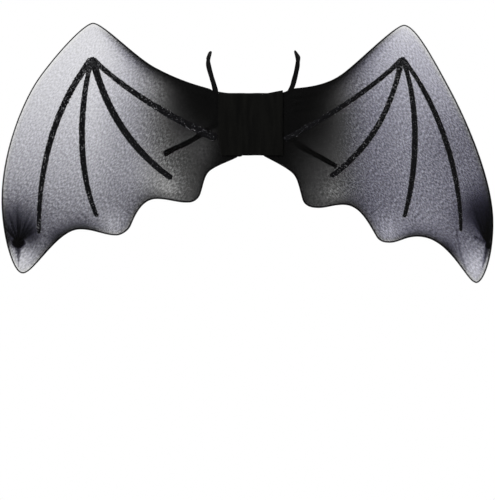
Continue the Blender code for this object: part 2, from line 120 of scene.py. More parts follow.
# A wing's outline, fitted a little closer than the part's. "shade" is the extra density of the
# cloth at the edge there, and "spread" how far it reaches inwards. The dark band along the top
# edge from the arm in to the patch is partly cloth bunched there and partly painted shade.
Anchor = namedtuple("Anchor", "name out up heading before after steps shade spread")
OUTLINES = {
    "left": (
        Anchor("arm", 0.390, 0.556, 28, 0.130, 0.100, 9, 4.4, 0.0085),
        Anchor("peak", 0.643, 1.006, 0, 0.040, 0.036, 9, 0.0, 0.0040),
        Anchor("edge", 0.859, 0.460, -55, 0.115, 0.120, 9, 0.0, 0.0050),
        Anchor("bulge", 1.009, -0.490, -90, 0.190, 0.120, 10, 0.1, 0.0100),
        Anchor("tip", 0.927, -0.961, 180, 0.044, 0.045, 9, 0.0, 0.0050),
        Anchor("hollow_1", 0.696, -0.675, 180, 0.096, 0.060, 5, 2.2, 0.0110),
        Anchor("point_1", 0.548, -0.715, 178, 0.045, 0.020, 4, 0.0, 0.0080),
        Anchor("rise_1", 0.492, -0.650, 112, 0.024, 0.050, 5, 0.3, 0.0060),
        Anchor("hollow_2", 0.384, -0.478, 180, 0.060, 0.050, 5, 1.3, 0.0090),
        Anchor("point_2", 0.251, -0.501, 176, 0.045, 0.020, 4, 0.1, 0.0060),
        Anchor("rise_2", 0.208, -0.445, 108, 0.022, 0.040, 4, 0.6, 0.0070),
        Anchor("hollow_3", 0.171, -0.300, 137, 0.030, 0.030, 3, 1.2, 0.0090),
    ),
    "right": (
        Anchor("arm", 0.376, 0.492, 36, 0.095, 0.090, 9, 3.4, 0.0095),
        Anchor("peak", 0.628, 0.986, -4, 0.034, 0.046, 9, 0.0, 0.0040),
        Anchor("edge", 0.8115, 0.340, -62, 0.150, 0.120, 9, 0.0, 0.0050),
        Anchor("bulge", 0.984, -0.640, -90, 0.182, 0.150, 10, 0.7, 0.0100),
        Anchor("tip", 0.920, -1.022, 180, 0.024, 0.040, 9, 0.0, 0.0050),
        Anchor("hollow_1", 0.682, -0.722, 180, 0.135, 0.060, 5, 1.6, 0.0100),
        Anchor("point_1", 0.551, -0.760, 170, 0.050, 0.014, 4, 0.0, 0.0080),
        Anchor("rise_1", 0.517, -0.722, 120, 0.018, 0.070, 5, 0.3, 0.0060),
        Anchor("hollow_2", 0.380, -0.516, 180, 0.068, 0.050, 5, 1.2, 0.0100),
        Anchor("point_2", 0.263, -0.535, 174, 0.045, 0.022, 4, 0.1, 0.0060),
        Anchor("rise_2", 0.216, -0.482, 106, 0.024, 0.045, 4, 0.6, 0.0070),
        Anchor("hollow_3", 0.178, -0.318, 132, 0.030, 0.030, 3, 1.2, 0.0090),
    ),
}
Root = namedtuple("Root", "level_out corner_rise top_out top_up top_heading "
                          "bottom_out bottom_up bottom_heading")
ROOTS = {
    "left": Root(0.70, 0.046, 1.28, 1.105, 20, 0.52, -1.08, 154),
    "right": Root(0.54, 0.090, 1.28, 1.105, 12, 0.62, -1.10, 152),
}
ROOT_HANDLE = 0.2
MOUTH_HANDLE = 0.06
# Extra cloth depth at the patch's edges: partly cloth bunched at the mouth, partly painted shade,
# as if a body stood behind the cloth.
ROOT_SHADE = 5.0
ROOT_SPREAD = 0.028
FINE = 3                   # pieces of the smooth outline for each piece of the part's

# How the cloth's density grows down from the peak, and from under the peak to the middle.
Tone = namedtuple("Tone", "top rise power inwards gain")
TONES = {
    "left": Tone(0.37, 2.00, 2.0, 1.8, 1.05),
    "right": Tone(0.34, 1.75, 0.6, 1.40, 1.14),
}
INWARDS_START = 0.64
INWARDS_SPAN = 0.5
INWARDS_FALL = 0.38        # of the way down, above which the middle is lighter

# Pools of thinner or denser cloth, in shares of REACH and of the rise or drop. The root pools are
# partly painted shade.
Pool = namedtuple("Pool", "name out up radius amount")
POOLS = {
    "left": (
        Pool("tip", 0.925, -0.930, 0.034, -1.65),
        Pool("toe_edge", 0.995, -0.640, 0.026, 1.10),
        Pool("toe_inner", 0.900, -0.720, 0.015, 1.80),
        Pool("toe_outer", 0.985, -0.740, 0.010, 1.60),
        Pool("slope", 0.786, -0.737, 0.013, 0.90),
        Pool("point_1", 0.560, -0.670, 0.024, -0.80),
        Pool("point_2", 0.335, -0.430, 0.022, -1.00),
        Pool("inner_low", 0.410, -0.330, 0.035, -0.52),
        # Partly cloth bunched at the mouth, partly painted shade, as if a body stood behind the
        # cloth.
        Pool("root", 0.120, 0.150, 0.070, 4.20),
        Pool("root_low", 0.170, -0.080, 0.034, -1.60),
    ),
    "right": (
        Pool("tip", 0.918, -0.950, 0.036, -1.32),
        Pool("toe_edge", 0.960, -0.560, 0.030, 0.50),
        Pool("toe_shade", 0.894, -0.575, 0.020, 0.70),
        Pool("slope", 0.798, -0.827, 0.014, 1.30),
        Pool("point_1", 0.560, -0.700, 0.026, -0.80),
        Pool("point_2", 0.345, -0.460, 0.022, -0.80),
        Pool("outer", 0.845, -0.130, 0.052, 0.46),
        Pool("low", 0.720, -0.660, 0.034, -0.30),
        # Partly cloth bunched at the mouth, partly painted shade, as if a body stood behind the
        # cloth.
        Pool("root", 0.120, 0.120, 0.070, 4.40),
    ),
}

# The tied toe of each stocking: the folds of the part, the dark lump of the toe with its
# place and size, the dark fan of folds above it, with the direction that it opens in, how wide
# it opens and how far it reaches, and the tail of cloth below it.
Gather = namedtuple("Gather", "out up folds toe_out toe_up toe_width toe_height "
                              "amount heading width reach folds_amount "
                              "tail_heading tail_width tail_length tail_amount")
GATHERS = {
    "left": Gather(0.951, -0.770, 9, 0.9450, -0.7677, 0.0090, 0.0072,
                   1.2, 97, 42, 0.050, 4.4, -90, 0.0050, 0.027, 3.4),
    "right": Gather(0.955, -0.785, 9, 0.9665, -0.7850, 0.0036, 0.0050,
                    3.2, 98, 19, 0.064, 3.6, -104, 0.0042, 0.030, 2.4),
}
FAN_FOLDS = 9
FOLD_WIDTH = 0.0007        # of a fold at the toe
FOLD_END_WIDTH = 0.0015
FOLD_REACH = 0.58          # of the fan's reach
FOLD_SPREAD = 1.2          # of the fan's width
FOLD_TURN_JITTER = 0.18    # how unevenly the folds are spread
FOLD_LENGTH_JITTER = 0.5   # and how unevenly long they are
TAIL_END_WIDTH = 0.0010
LUMP_DEPTH = 8.0
HALO_AMOUNT = 1.15         # of the softer shade round the fan
HALO_WIDTH = 62

# Thin dark creases of the stretched cloth
Crease = namedtuple("Crease", "side out up end_out end_up width amount")
CREASES = (
    Crease("right", 0.8371, -0.6661, 0.8547, -0.8338, 0.0011, 1.1),
    Crease("right", 0.8547, -0.8338, 0.8790, -0.9520, 0.0013, 0.8),
    Crease("right", 0.9080, -0.7240, 0.9570, -0.7660, 0.0021, 1.3),
    Crease("left", 0.9700, -0.8000, 0.9560, -0.7850, 0.0010, 1.0),
)

# The glitter ribs, from where they meet to their outer ends. Their widths are in RIB_WIDTHs.
Rib = namedtuple("Rib", "name out up heading handle end_out end_up end_heading end_handle "
                        "width mid_width end_width")
RIBS = {
    "left": (
        Rib("arm", 0.646, 0.650, -136, 0.180, 0.133, -0.090, -158, 0.180, 0.96, 1.24, 1.62),
        Rib("finger_1", 0.646, 0.650, -51, 0.240, 0.862, -0.709, -91, 0.270, 1.26, 1.20, 0.72),
        Rib("finger_2", 0.650, 0.630, -75, 0.170, 0.626, -0.600, -114, 0.220, 0.80, 1.22, 0.86),
        Rib("finger_3", 0.642, 0.630, -104, 0.220, 0.321, -0.353, -145, 0.190, 1.22, 1.40, 1.10),
    ),
    "right": (
        Rib("arm", 0.622, 0.650, -136, 0.170, 0.133, -0.100, -154, 0.200, 0.90, 0.98, 1.05),
        Rib("finger_1", 0.622, 0.650, -51, 0.200, 0.857, -0.693, -90, 0.270, 0.62, 1.06, 0.58),
        Rib("finger_2", 0.622, 0.640, -69, 0.190, 0.628, -0.603, -106, 0.200, 0.64, 1.16, 0.74),
        Rib("finger_3", 0.616, 0.630, -101, 0.270, 0.328, -0.342, -143, 0.140, 0.94, 1.14, 1.06),
    ),
}
RIB_STEPS = 200
RIB_COLUMNS = 6
RIB_HEIGHT = 0.0007
RIB_START = 0.50           # of RIB_WIDTH, how far behind the meeting point they start
RIB_CLEARANCE = 0.0001     # over the cloth
RIB_LEVEL = 0.00004        # each rib lies that much above the one before
RIB_WOBBLE = 0.20          # of a rib's width, how ragged its edges are
RIB_WAVES = 330            # scale of the ragged edge, and of the finer steps on it
RIB_FINE_WAVES = 900
RIB_FINE_SHARE = 0.6
RIB_POINT = 0.12           # of its width, left at its very end
MEETING_SWELL = 0.34       # of RIB_WIDTH, how much wider they are where they meet
MEETING_REACH = 0.017
FLAKE_RADIUS = 0.0005
FLAKE_SIZES = (0.7, 1.25)  # of FLAKE_RADIUS
FLAKE_SIDES = 6
FLAKE_THICKNESS = 0.00012
FLAKE_SHARE = 0.0000013    # cloth for each flake
FLAKE_TILT = 32
FLAKE_SPREAD = 1.12        # of a rib's half width, how far out they lie
BRIGHT_START = 0.50        # share of bright flakes where the ribs meet
BRIGHT_REST = 0.11         # and further on
BRIGHT_SHINE = (0.7, 1.0)
DULL_SHINE = (0.2, 0.5)

# A strap's route from the patch over the shoulder and under the arm back to it: "across" is in
# CHEST_HALF_WIDTHs, "forward" in CHEST_DEPTHs and "up" in SHOULDER_RISEs.
Turn = namedtuple("Turn", "name across forward up")
STRAP_ROUTES = {
    "left": (
        Turn("corner", 0.400, 0.000, 0.380),
        Turn("back", 0.400, 0.000, 0.475),
        Turn("blade", 0.452, 0.060, 0.690),
        Turn("shoulder_back", 0.486, 0.160, 0.905),
        Turn("shoulder_edge", 0.499, 0.250, 0.990),
        Turn("shoulder", 0.468, 0.420, 1.036),
        Turn("shoulder_front", 0.497, 0.680, 0.900),
        Turn("collar", 0.424, 0.900, 0.530),
        Turn("chest", 0.456, 1.000, 0.030),
        Turn("arm_front", 0.860, 0.920, -0.278),
        Turn("side", 1.000, 0.600, -0.398),
        Turn("arm_back", 0.960, 0.300, -0.370),
        Turn("flank", 0.700, 0.110, -0.240),
        Turn("waist", 0.500, 0.040, -0.070),
    ),
    "right": (
        Turn("back", 0.455, 0.000, 0.470),
        Turn("blade", 0.512, 0.060, 0.660),
        Turn("shoulder_back", 0.551, 0.160, 0.925),
        Turn("shoulder_edge", 0.556, 0.250, 1.005),
        Turn("shoulder", 0.530, 0.420, 1.048),
        Turn("shoulder_front", 0.556, 0.680, 0.890),
        Turn("collar", 0.484, 0.900, 0.510),
        Turn("chest", 0.482, 1.000, -0.130),
        Turn("arm_front", 0.870, 0.920, -0.450),
        Turn("side", 1.000, 0.600, -0.565),
        Turn("arm_back", 0.955, 0.300, -0.552),
        Turn("flank", 0.740, 0.110, -0.420),
        Turn("waist", 0.560, 0.040, -0.280),
    ),
}
StrapEnds = namedtuple("StrapEnds", "upper_out upper_up lower_out lower_up")
STRAP_ENDS = {
    "left": StrapEnds(0.84, 0.46, 0.60, 0.22),
    "right": StrapEnds(0.80, 0.34, 0.66, -0.14),
}
STRAP_LEVEL = 0.6
STRAP_EASE = 2.0
STRAP_RISE = 0.15
STRAP_TURN = 0.3
STRAP_STEPS = 12
STRAP_COLUMNS = 6
STRAP_SPREAD = 1.12        # of STRAP_WIDTH, as it lies on the shoulder
STRAP_CORDS = 7            # that run along it
STRAP_PICK = 0.0011        # from one cross thread to the next
TWISTS = {"left": 40, "right": 20}      # degrees that the strap turns up to the shoulder
TWIST_START = 0.46         # of SHOULDER_RISE
TWIST_FULL = 0.88
TWIST_FADE = (0.30, 0.60)  # of CHEST_DEPTH, where it turns back

PATCH_COLUMNS = 30
PATCH_ROWS = 64
PATCH_ROUNDING = 0.0035    # of the fold over the wires
PATCH_FOLD_TURNS = 16      # pieces of that rounding
PATCH_DENT = 0.0005
PATCH_WAVES = 60           # scale of its wavy edges, and of the dents in its face
PATCH_DENTS = 35

# Camera and room
DISTANCE = 4.0
VIEW_HEIGHT = 0.750        # height of the picture at the wings
VIEW_CENTRE = Vector((-0.0045, -0.020, -0.1894))
SENSOR = 36.0
FLOOR_Z = -0.78
FLOOR_RADIUS = 0.9
ROOM_LIGHT = 0.5           # of the white that the camera sees round the part
Lamp = namedtuple("Lamp", "name place size power")
LAMPS = (
    Lamp("key_light", Vector((-0.9, -1.6, 1.3)), 0.5, 26.0),
    Lamp("fill_light", Vector((1.2, 1.5, 0.9)), 0.8, 12.0),
)


def smooth_step(value):
    value = min(max(value, 0.0), 1.0)
    return value * value * (3 - 2 * value)


def bell(distance, radius):
    return math.exp(-(distance / radius) ** 2)


def upright(share):
    return share * (PEAK_RISE if share > 0 else TIP_DROP)


def flat_point(row):
    return Vector((row.out * REACH, upright(row.up)))


def turned(degrees):
    return Vector((math.cos(math.radians(degrees)), math.sin(math.radians(degrees))))


def left_normal(points, index):
    before = points[max(index - 1, 0)]
    after = points[min(index + 1, len(points) - 1)]
    along = (after - before).normalized()
    return Vector((-along.y, along.x))


def depth_at(out):
    """Y of the wing's middle plane, flat behind the patch and swept back beyond it."""
    share = max(out - SWEEP_START, 0.0) / (REACH - SWEEP_START)
    return ROOT_Y - SWEEP * share * share


# Nodes of the finishes


class Value:
    """A number or vector inside a material. Arithmetic on it adds the nodes it needs."""

    def __init__(self, socket):
        self.socket = socket

    def math(self, operation, *others):
        return node(self.socket.id_data, "ShaderNodeMath", {"operation": operation},
                    [self, *others])

    def __add__(self, other):
        return self.math("ADD", other)

    def __sub__(self, other):
        return self.math("SUBTRACT", other)

    def __mul__(self, other):
        return self.math("MULTIPLY", other)

    def __truediv__(self, other):
        return self.math("DIVIDE", other)

    def __neg__(self):
        return self * -1.0

    def __rsub__(self, other):
        return -self + other

    __radd__ = __add__
    __rmul__ = __mul__

    def ramp(self, low, high):
        """0 below low, 1 above high, and smooth between."""
        return node(self.socket.id_data, "ShaderNodeMapRange",
                    {"interpolation_type": "SMOOTHSTEP"}, [self, low, high])


def feed(socket, value):
    if isinstance(value, Value):
        socket.id_data.links.new(value.socket, socket)
    else:
        socket.default_value = value


def node(tree, kind, settings=None, inputs=(), output=0):
    """Add a node. Its inputs come as a list in the sockets' order, or by name."""
    made = tree.nodes.new(kind)
    for setting, value in (settings or {}).items():
        setattr(made, setting, value)
    for key, value in inputs.items() if isinstance(inputs, dict) else enumerate(inputs):
        feed(made.inputs[key], value)
    return Value(made.outputs[output])


def grey(value, blue=1.0):
    return (value, value, value * blue, 1.0)


def mixed(tree, factor, first, second):
    """A colour between two."""
    made = tree.nodes.new("ShaderNodeMix")
    made.data_type = "RGBA"
    for name, value in (("Factor_Float", factor), ("A_Color", first), ("B_Color", second)):
        feed(next(s for s in made.inputs if s.identifier == name), value)
    return Value(next(s for s in made.outputs if s.identifier == "Result_Color"))


def noise_at(tree, place, scale, detail=2.0):
    return node(tree, "ShaderNodeTexNoise", {},
                {"Vector": place, "Scale": scale, "Detail": detail})


def drawn_out(tree, place, turn, lengths):
    """Object coordinates turned in the wing's plane, and then drawn out along each axis."""
    return node(tree, "ShaderNodeMapping", {"vector_type": "TEXTURE"},
                [place, (0, 0, 0), (0, math.radians(turn), 0), lengths])


def bump(tree, height, strength, distance):
    return node(tree, "ShaderNodeBump", {},
                {"Height": height, "Strength": strength, "Distance": distance})


def attribute(tree, name):
    return node(tree, "ShaderNodeAttribute", {"attribute_name": name}, output="Fac")


def new_material(name, **constants):
    """A material with its tree, its shader's inputs and the object coordinates."""
    made = bpy.data.materials.new(name)
    made.use_nodes = True
    tree = made.node_tree
    inputs = tree.nodes["Principled BSDF"].inputs
    for socket, value in constants.items():
        inputs[socket.replace("_", " ")].default_value = value
    place = node(tree, "ShaderNodeTexCoord", output="Object")
    return made, tree, inputs, place


def laid_flat(tree, place):
    """Object coordinates without their Y, and with both wings laid over each other."""
    axes = node(tree, "ShaderNodeSeparateXYZ", {}, [place]).socket.node.outputs
    return node(tree, "ShaderNodeCombineXYZ", {},
                [Value(axes[0]).math("ABSOLUTE"), 0.0, Value(axes[2])])


def sheer_finish():
    """Black stocking knit: what shows through it follows its depth, thread by thread."""
    made, tree, inputs, place = new_material("sheer_knit")
    inputs["Specular IOR Level"].default_value = 0.05
    flat = laid_flat(tree, place)
    along_threads = drawn_out(tree, flat, KNIT_SLANT, (1.0, 1.0, THREAD_LENGTH))
    threads = noise_at(tree, along_threads, THREAD_SCALE, 1.0).ramp(0.34, 0.66)
    loops = noise_at(tree, flat, LOOP_SCALE, 1.0).ramp(0.3, 0.7)
    clouds = noise_at(tree, place, 70.0, 3.0)
    gaps = threads * THREAD_SHARE + loops * (1 - THREAD_SHARE)
    shine = gaps * GLEAM_SPREAD + (1 - GLEAM_SPREAD) / 2
    # The cloth's depth holds painted shade by the patch too, so the cloth shows darker there.
    depth = attribute(tree, "cloth_depth")
    calm = 1.0 - depth.ramp(*CALM_DEPTH) * CALM_SHARE
    weave = 1.0 + (0.5 - gaps) * calm * THREAD_CONTRAST + (0.5 - clouds) * CLOUD_CONTRAST
    feed(inputs["Alpha"], 1.0 - (-depth * weave).math("EXPONENT"))
    feed(inputs["Base Color"], mixed(tree, attribute(tree, "gleam") * shine, grey(0.0025),
                                     GLEAM_COLOUR))
    feed(inputs["Roughness"], 0.6 + clouds * 0.3)
    feed(inputs["Normal"], bump(tree, gaps, 0.7, 0.0006))
    return made


def wire_finish():
    """Black coated wire, slightly worn."""
    made, tree, inputs, place = new_material("coated_wire")
    inputs["Specular IOR Level"].default_value = 0.3
    wear = noise_at(tree, place, 260.0, 4.0)
    feed(inputs["Base Color"], mixed(tree, wear.ramp(0.62, 0.75), grey(0.004), grey(0.03)))
    feed(inputs["Roughness"], 0.35 + wear * 0.25)
    feed(inputs["Normal"], bump(tree, wear, 0.2, 0.0002))
    return made


def felt_finish():
    """Black felt: matted fibres, faint upright marks and a soft nap."""
    made, tree, inputs, place = new_material("black_felt_nap", Roughness=0.95,
                                             Sheen_Weight=0.02, Sheen_Roughness=0.6)
    inputs["Specular IOR Level"].default_value = 0.05
    fibres = noise_at(tree, place, 900.0, 6.0)
    marks = noise_at(tree, drawn_out(tree, place, 0, (1.0, 1.0, 8.0)), 160.0, 3.0)
    tufts = noise_at(tree, place, 210.0, 3.0)
    shade = fibres * 0.5 + marks * 0.5
    feed(inputs["Base Color"], mixed(tree, shade.ramp(0.35, 0.7), grey(0.0018, 0.9),
                                     grey(0.0060, 0.85)))
    feed(inputs["Roughness"], 0.85 + tufts * 0.12)
    feed(inputs["Normal"], bump(tree, fibres * 0.6 + tufts * 0.6 + marks * 0.4, 0.5, 0.0006))
    return made


def elastic_finish():
    """Flat elastic: cords that run lengthwise, bound edges and a fine cross weave."""
    made, tree, inputs, place = new_material("black_elastic_weave", Roughness=0.8)
    inputs["Specular IOR Level"].default_value = 0.06
    across = attribute(tree, "across")
    along = attribute(tree, "along")
    cords = (across * (math.pi * STRAP_CORDS)).math("COSINE") * 0.5 + 0.5
    picks = (along * (math.tau / STRAP_PICK)).math("SINE") * 0.5 + 0.5
    edge = across.math("ABSOLUTE").ramp(0.62, 0.92)
    fuzz = noise_at(tree, place, 700.0, 4.0)
    shade = (cords * 0.5 + picks * 0.2 + fuzz * 0.4) * (1.0 - edge * 0.75)
    feed(inputs["Base Color"], mixed(tree, shade, grey(0.001), grey(0.007, 1.05)))
    feed(inputs["Roughness"], 0.7 + fuzz * 0.25)
    feed(inputs["Normal"], bump(tree, cords * 0.7 + picks * 0.3 + fuzz * 0.3, 0.6, 0.0004))
    return made


def glitter_finish():
    """Black glitter: a dark grainy bed, and flakes that each have their own shade and gloss."""
    made, tree, inputs, place = new_material("black_glitter_flakes")
    inputs["Specular IOR Level"].default_value = 0.1
    glint = attribute(tree, "glint")
    grain = noise_at(tree, place, 1100.0, 2.0)
    shade = mixed(tree, grain.ramp(0.5, 0.7), grey(0.001, 1.3), grey(0.022, 1.2))
    feed(inputs["Base Color"], mixed(tree, glint.ramp(0.5, 1.0), shade, grey(0.75, 1.05)))
    feed(inputs["Metallic"], glint.ramp(0.0, 0.15) * 0.8)
    feed(inputs["Roughness"], 0.75 - glint.ramp(0.0, 0.5) * 0.3 + grain * 0.1)
    feed(inputs["Normal"], bump(tree, grain, 0.6, 0.0003))
    return made


def floor_finish():
    made, tree, inputs, place = new_material("studio_floor", Roughness=0.9)
    feed(inputs["Base Color"], mixed(tree, noise_at(tree, place, 3.0), grey(0.84), grey(0.90)))
    return made


# Steps that several pieces share


def finished(name, data, finish, node_name):
    """An object of the dressed part, in place of one of the part's nodes."""
    piece = bpy.data.objects.new(name, data)
    bpy.context.scene.collection.objects.link(piece)
    data.materials.append(finish)
    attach(piece, "root")
    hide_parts(node_name)
    return piece


def to_data(mesh, name):
    data = bpy.data.meshes.new(name)
    mesh.to_mesh(data)
    mesh.free()
    data.shade_smooth()
    return data


def add_wall(piece, thickness, offset=0.0):
    wall = piece.modifiers.new("wall", "SOLIDIFY")
    wall.thickness = thickness
    wall.offset = offset


# Outline of a wing

Place = namedtuple("Place", "point heading before after steps shade spread")


def top_rise(side, out):
    """How far the patch's top edge, and the wire under it, stand above their level stretch."""
    root = ROOTS[side]
    slope = root.corner_rise * HALF_HEIGHT / ((1 - root.level_out) * HALF_WIDTH)
    return slope * max(out - root.level_out * HALF_WIDTH, 0.0)


def outline_places(side):
    root = ROOTS[side]
    level = root.level_out * HALF_WIDTH
    corner = HALF_WIDTH + STOCKING_HALF
    rise = top_rise(side, corner)
    slope = math.degrees(math.atan2(rise, corner - level))
    handle = ROOT_HANDLE * HALF_WIDTH
    short = MOUTH_HANDLE * HALF_WIDTH
    shade = (ROOT_SHADE, ROOT_SPREAD)
    rows = [
        Place(Vector((MOUTH, ROOT_TOP)), 0, 0.0, short, 1, *shade),
        Place(Vector((level, ROOT_TOP)), 0, short, short, 1, *shade),
        Place(Vector((corner, ROOT_TOP + rise)), slope, short, handle / 2, 3, *shade),
        Place(Vector((root.top_out * HALF_WIDTH, root.top_up * HALF_HEIGHT)),
              root.top_heading, handle / 2, handle, 4, *shade),
    ]
    for row in OUTLINES[side]:
        rows.append(Place(flat_point(row), row.heading, row.before * REACH, row.after * REACH,
                          row.steps, row.shade, row.spread))
    bottom = Vector((root.bottom_out * HALF_WIDTH, root.bottom_up * HALF_HEIGHT))
    fall = math.tan(math.radians(180 - root.bottom_heading))
    end = Vector((MOUTH, bottom.y + (bottom.x - MOUTH) * fall))
    rows.append(Place(bottom, root.bottom_heading, handle, short, 1, *shade))
    rows.append(Place(end, root.bottom_heading, short, 0.0, 1, *shade))
    return rows


class Outline:
    """The smooth route of a wing's wire, and what the cloth is like beside it."""

    def __init__(self, side):
        self.points = []
        self.shades = []
        rows = outline_places(side)
        for start, end in zip(rows, rows[1:]):
            steps = start.steps * FINE
            leave = start.point + turned(start.heading) * start.after
            arrive = end.point - turned(end.heading) * end.before
            curve = interpolate_bezier(start.point.to_3d(), leave.to_3d(), arrive.to_3d(),
                                       end.point.to_3d(), steps + 1)
            for i, point in enumerate(curve[:-1]):
                share = smooth_step(i / steps)
                self.points.append(point.to_2d())
                self.shades.append((start.shade + (end.shade - start.shade) * share,
                                    start.spread + (end.spread - start.spread) * share))
        self.points.append(rows[-1].point)
        self.shades.append((rows[-1].shade, rows[-1].spread))
        self.tree = KDTree(len(self.points))
        for i, point in enumerate(self.points):
            self.tree.insert(point.to_3d(), i)
        self.tree.balance()

    def nearest(self, point):
        """Index of the nearest point of the route, and the distance to the route."""
        _, index, distance = self.tree.find(point.to_3d())
        for start in (index - 1, index):
            if 0 <= start < len(self.points) - 1:
                foot, share = intersect_point_line(point, self.points[start],
                                                   self.points[start + 1])
                if 0 <= share <= 1:
                    distance = min(distance, (foot.to_2d() - point).length)
        return index, distance


# The sheer stockings


def gather_fold(point, side):
    row = GATHERS[side]
    arm = point - flat_point(row)
    if arm.length >= GATHER_RADIUS:
        return 0.0
    knot = bell(arm.length, KNOT_RADIUS)
    ridge = 0.5 + 0.5 * math.cos(row.folds * math.atan2(arm.y, arm.x))
    fade = (1 - arm.length / GATHER_RADIUS) ** GATHER_FADE
    return KNOT_HEIGHT * fade * (knot + (1 - knot) * ridge)


def bunch_fold(point, edge_distance):
    along = (point.x - SWEEP_START) / BUNCH_LENGTH
    across = (edge_distance - CLEAR_EDGE) / (BUNCH_WIDTH - CLEAR_EDGE)
    if point.y < 0 or not (0 < along < 1 and 0 < across < 1):
        return 0.0
    rise = smooth_step(along / BUNCH_START) * smooth_step((1 - along) / BUNCH_FADE)
    return BUNCH_DEPTH * rise * (0.5 - 0.5 * math.cos(math.tau * BUNCH_FOLDS * across))


def proud_at(point, side, outline):
    """How far the cloth stands off the wing's plane."""
    distance = outline.nearest(point)[1]
    fade = smooth_step((distance - CLEAR_EDGE) / (2 * CLEAR_EDGE))
    return gather_fold(point, side) * fade + bunch_fold(point, distance)


def streak(arm, heading, width, end_width, length):
    """A dark fold that runs out from the tied toe and fades with its length."""
    along = arm.dot(turned(heading))
    if along <= 0:
        return 0.0
    across = abs(arm.cross(turned(heading)))
    broad = max(width + (end_width - width) * along / length, end_width / 2)
    return bell(across, broad) * bell(along, length)


def fan_density(point, side):
    """The dark fan of folds that the tied toe draws the cloth into, and the toe itself."""
    row = GATHERS[side]
    arm = point - Vector((row.toe_out * REACH, upright(row.toe_up)))
    radius = arm.length
    if radius > 3 * row.reach:
        return 0.0
    turn = (math.degrees(math.atan2(arm.y, arm.x)) - row.heading + 180) % 360 - 180
    fan = row.amount * bell(radius, row.reach) * bell(turn, row.width)
    fan += HALO_AMOUNT * bell(radius, row.reach) * bell(turn, HALO_WIDTH)
    for fold in range(FAN_FOLDS):
        spread = 2 * fold / (FAN_FOLDS - 1) - 1
        jitter = noise.noise(Vector((fold * 3.7, row.heading, 0.5)))
        lean = FOLD_SPREAD * spread + FOLD_TURN_JITTER * jitter
        heading = row.heading + row.width * lean
        length = FOLD_REACH * row.reach * (1.0 + FOLD_LENGTH_JITTER * jitter)
        fan += row.folds_amount * streak(arm, heading, FOLD_WIDTH, FOLD_END_WIDTH, length)
    fan += row.tail_amount * streak(arm, row.tail_heading, row.tail_width, TAIL_END_WIDTH,
                                    row.tail_length)
    lump = Vector((arm.x / row.toe_width, arm.y / row.toe_height)).length
    return fan + LUMP_DEPTH * math.exp(-lump ** 6)


def crease_density(point, side):
    density = 0.0
    for row in CREASES:
        if row.side == side:
            start = flat_point(row)
            end = Vector((row.end_out * REACH, upright(row.end_up)))
            foot, share = intersect_point_line(point, start, end)
            if 0 <= share <= 1:
                density += row.amount * bell((foot.to_2d() - point).length, row.width)
    return density


def density_at(point, side, outline):
    """Optical depth of both layers of the cloth at a flat point; by the patch it holds painted
    shade too.
    """
    tone = TONES[side]
    peak, tip = (row for row in OUTLINES[side] if row.name in ("peak", "tip"))
    fall = (upright(peak.up) - point.y) / (upright(peak.up) - upright(tip.up))
    density = tone.top + tone.rise * min(max(fall, 0.0), 1.0) ** tone.power
    inwards = (INWARDS_START - point.x / REACH) / INWARDS_SPAN
    density += tone.inwards * max(inwards, 0.0) * smooth_step(fall / INWARDS_FALL)
    index, distance = outline.nearest(point)
    shade, spread = outline.shades[index]
    density += shade * math.exp(-distance / spread)
    for pool in POOLS[side]:
        density += pool.amount * bell((point - flat_point(pool)).length, pool.radius)
    density = max(density, LEAST_DEPTH) + fan_density(point, side)
    density = density * tone.gain + crease_density(point, side)
    thinning = EDGE_THINNING * bell(distance - WIRE_RADIUS, EDGE_BAND) * bell(density, EDGE_LIGHT)
    return density * (1 - thinning)


def gleam_at(point, side, outline, density):
    """How much the threads gleam: less where the cloth is dense, at the rim and by the patch."""
    distance = outline.nearest(point)[1]
    gleam = GLEAM[side] * math.exp(-GLEAM_FADE * density)
    gleam *= smooth_step((point.x - GLEAM_START) / (GLEAM_FULL - GLEAM_START))
    return gleam * (1 - bell(distance, 2 * EDGE_BAND))


def cut_into_squares(mesh, pitch):
    for axis in (0, 2):
        across = Vector((0, 0, 0))
        across[axis] = 1.0
        reach = [corner.co[axis] for corner in mesh.verts]
        for step in range(math.ceil(min(reach) / pitch), math.floor(max(reach) / pitch) + 1):
            bmesh.ops.bisect_plane(mesh, geom=mesh.verts[:] + mesh.edges[:] + mesh.faces[:],
                                   dist=MERGE, plane_co=across * step * pitch, plane_no=across)


def halve_squares(mesh, centre, radius):
    near = [edge for edge in mesh.edges
            if all((corner.co.xz - centre).length < radius for corner in edge.verts)]
    bmesh.ops.subdivide_edges(mesh, edges=near, cuts=1, use_grid_fill=True)


def at_mouth(edge):
    return all(abs(corner.co.x - MOUTH) < MERGE for corner in edge.verts)


def add_rim(mesh, outline):
    """Carry the front layer's edge round the wire in small steps."""
    rim = [edge for edge in mesh.edges if edge.is_boundary and not at_mouth(edge)]
    feet = {}
    for corner in {corner for edge in rim for corner in edge.verts}:
        point = corner.co.xz
        outwards = left_normal(outline.points, outline.nearest(point)[0])
        if abs(point.x - MOUTH) < MERGE:
            outwards = Vector((0, math.copysign(1, point.y)))
        feet[corner] = (point, outwards)
    for step in range(1, RIM_STEPS + 1):
        turn = math.pi * step / RIM_STEPS
        grown = bmesh.ops.extrude_edge_only(mesh, edges=rim)["geom"]
        fresh = {part for part in grown if isinstance(part, bmesh.types.BMVert)}
        next_feet = {}
        for corner in fresh:
            older = next(edge.other_vert(corner) for edge in corner.link_edges
                         if edge.other_vert(corner) in feet)
            point, outwards = feet[older]
            place = point + outwards * LAYER_OFFSET * math.sin(turn)
            corner.co = Vector((place.x, -LAYER_OFFSET * math.cos(turn), place.y))
            next_feet[corner] = (point, outwards)
        rim = list({edge for corner in fresh for edge in corner.link_edges
                    if edge.other_vert(corner) in fresh})
        feet = next_feet


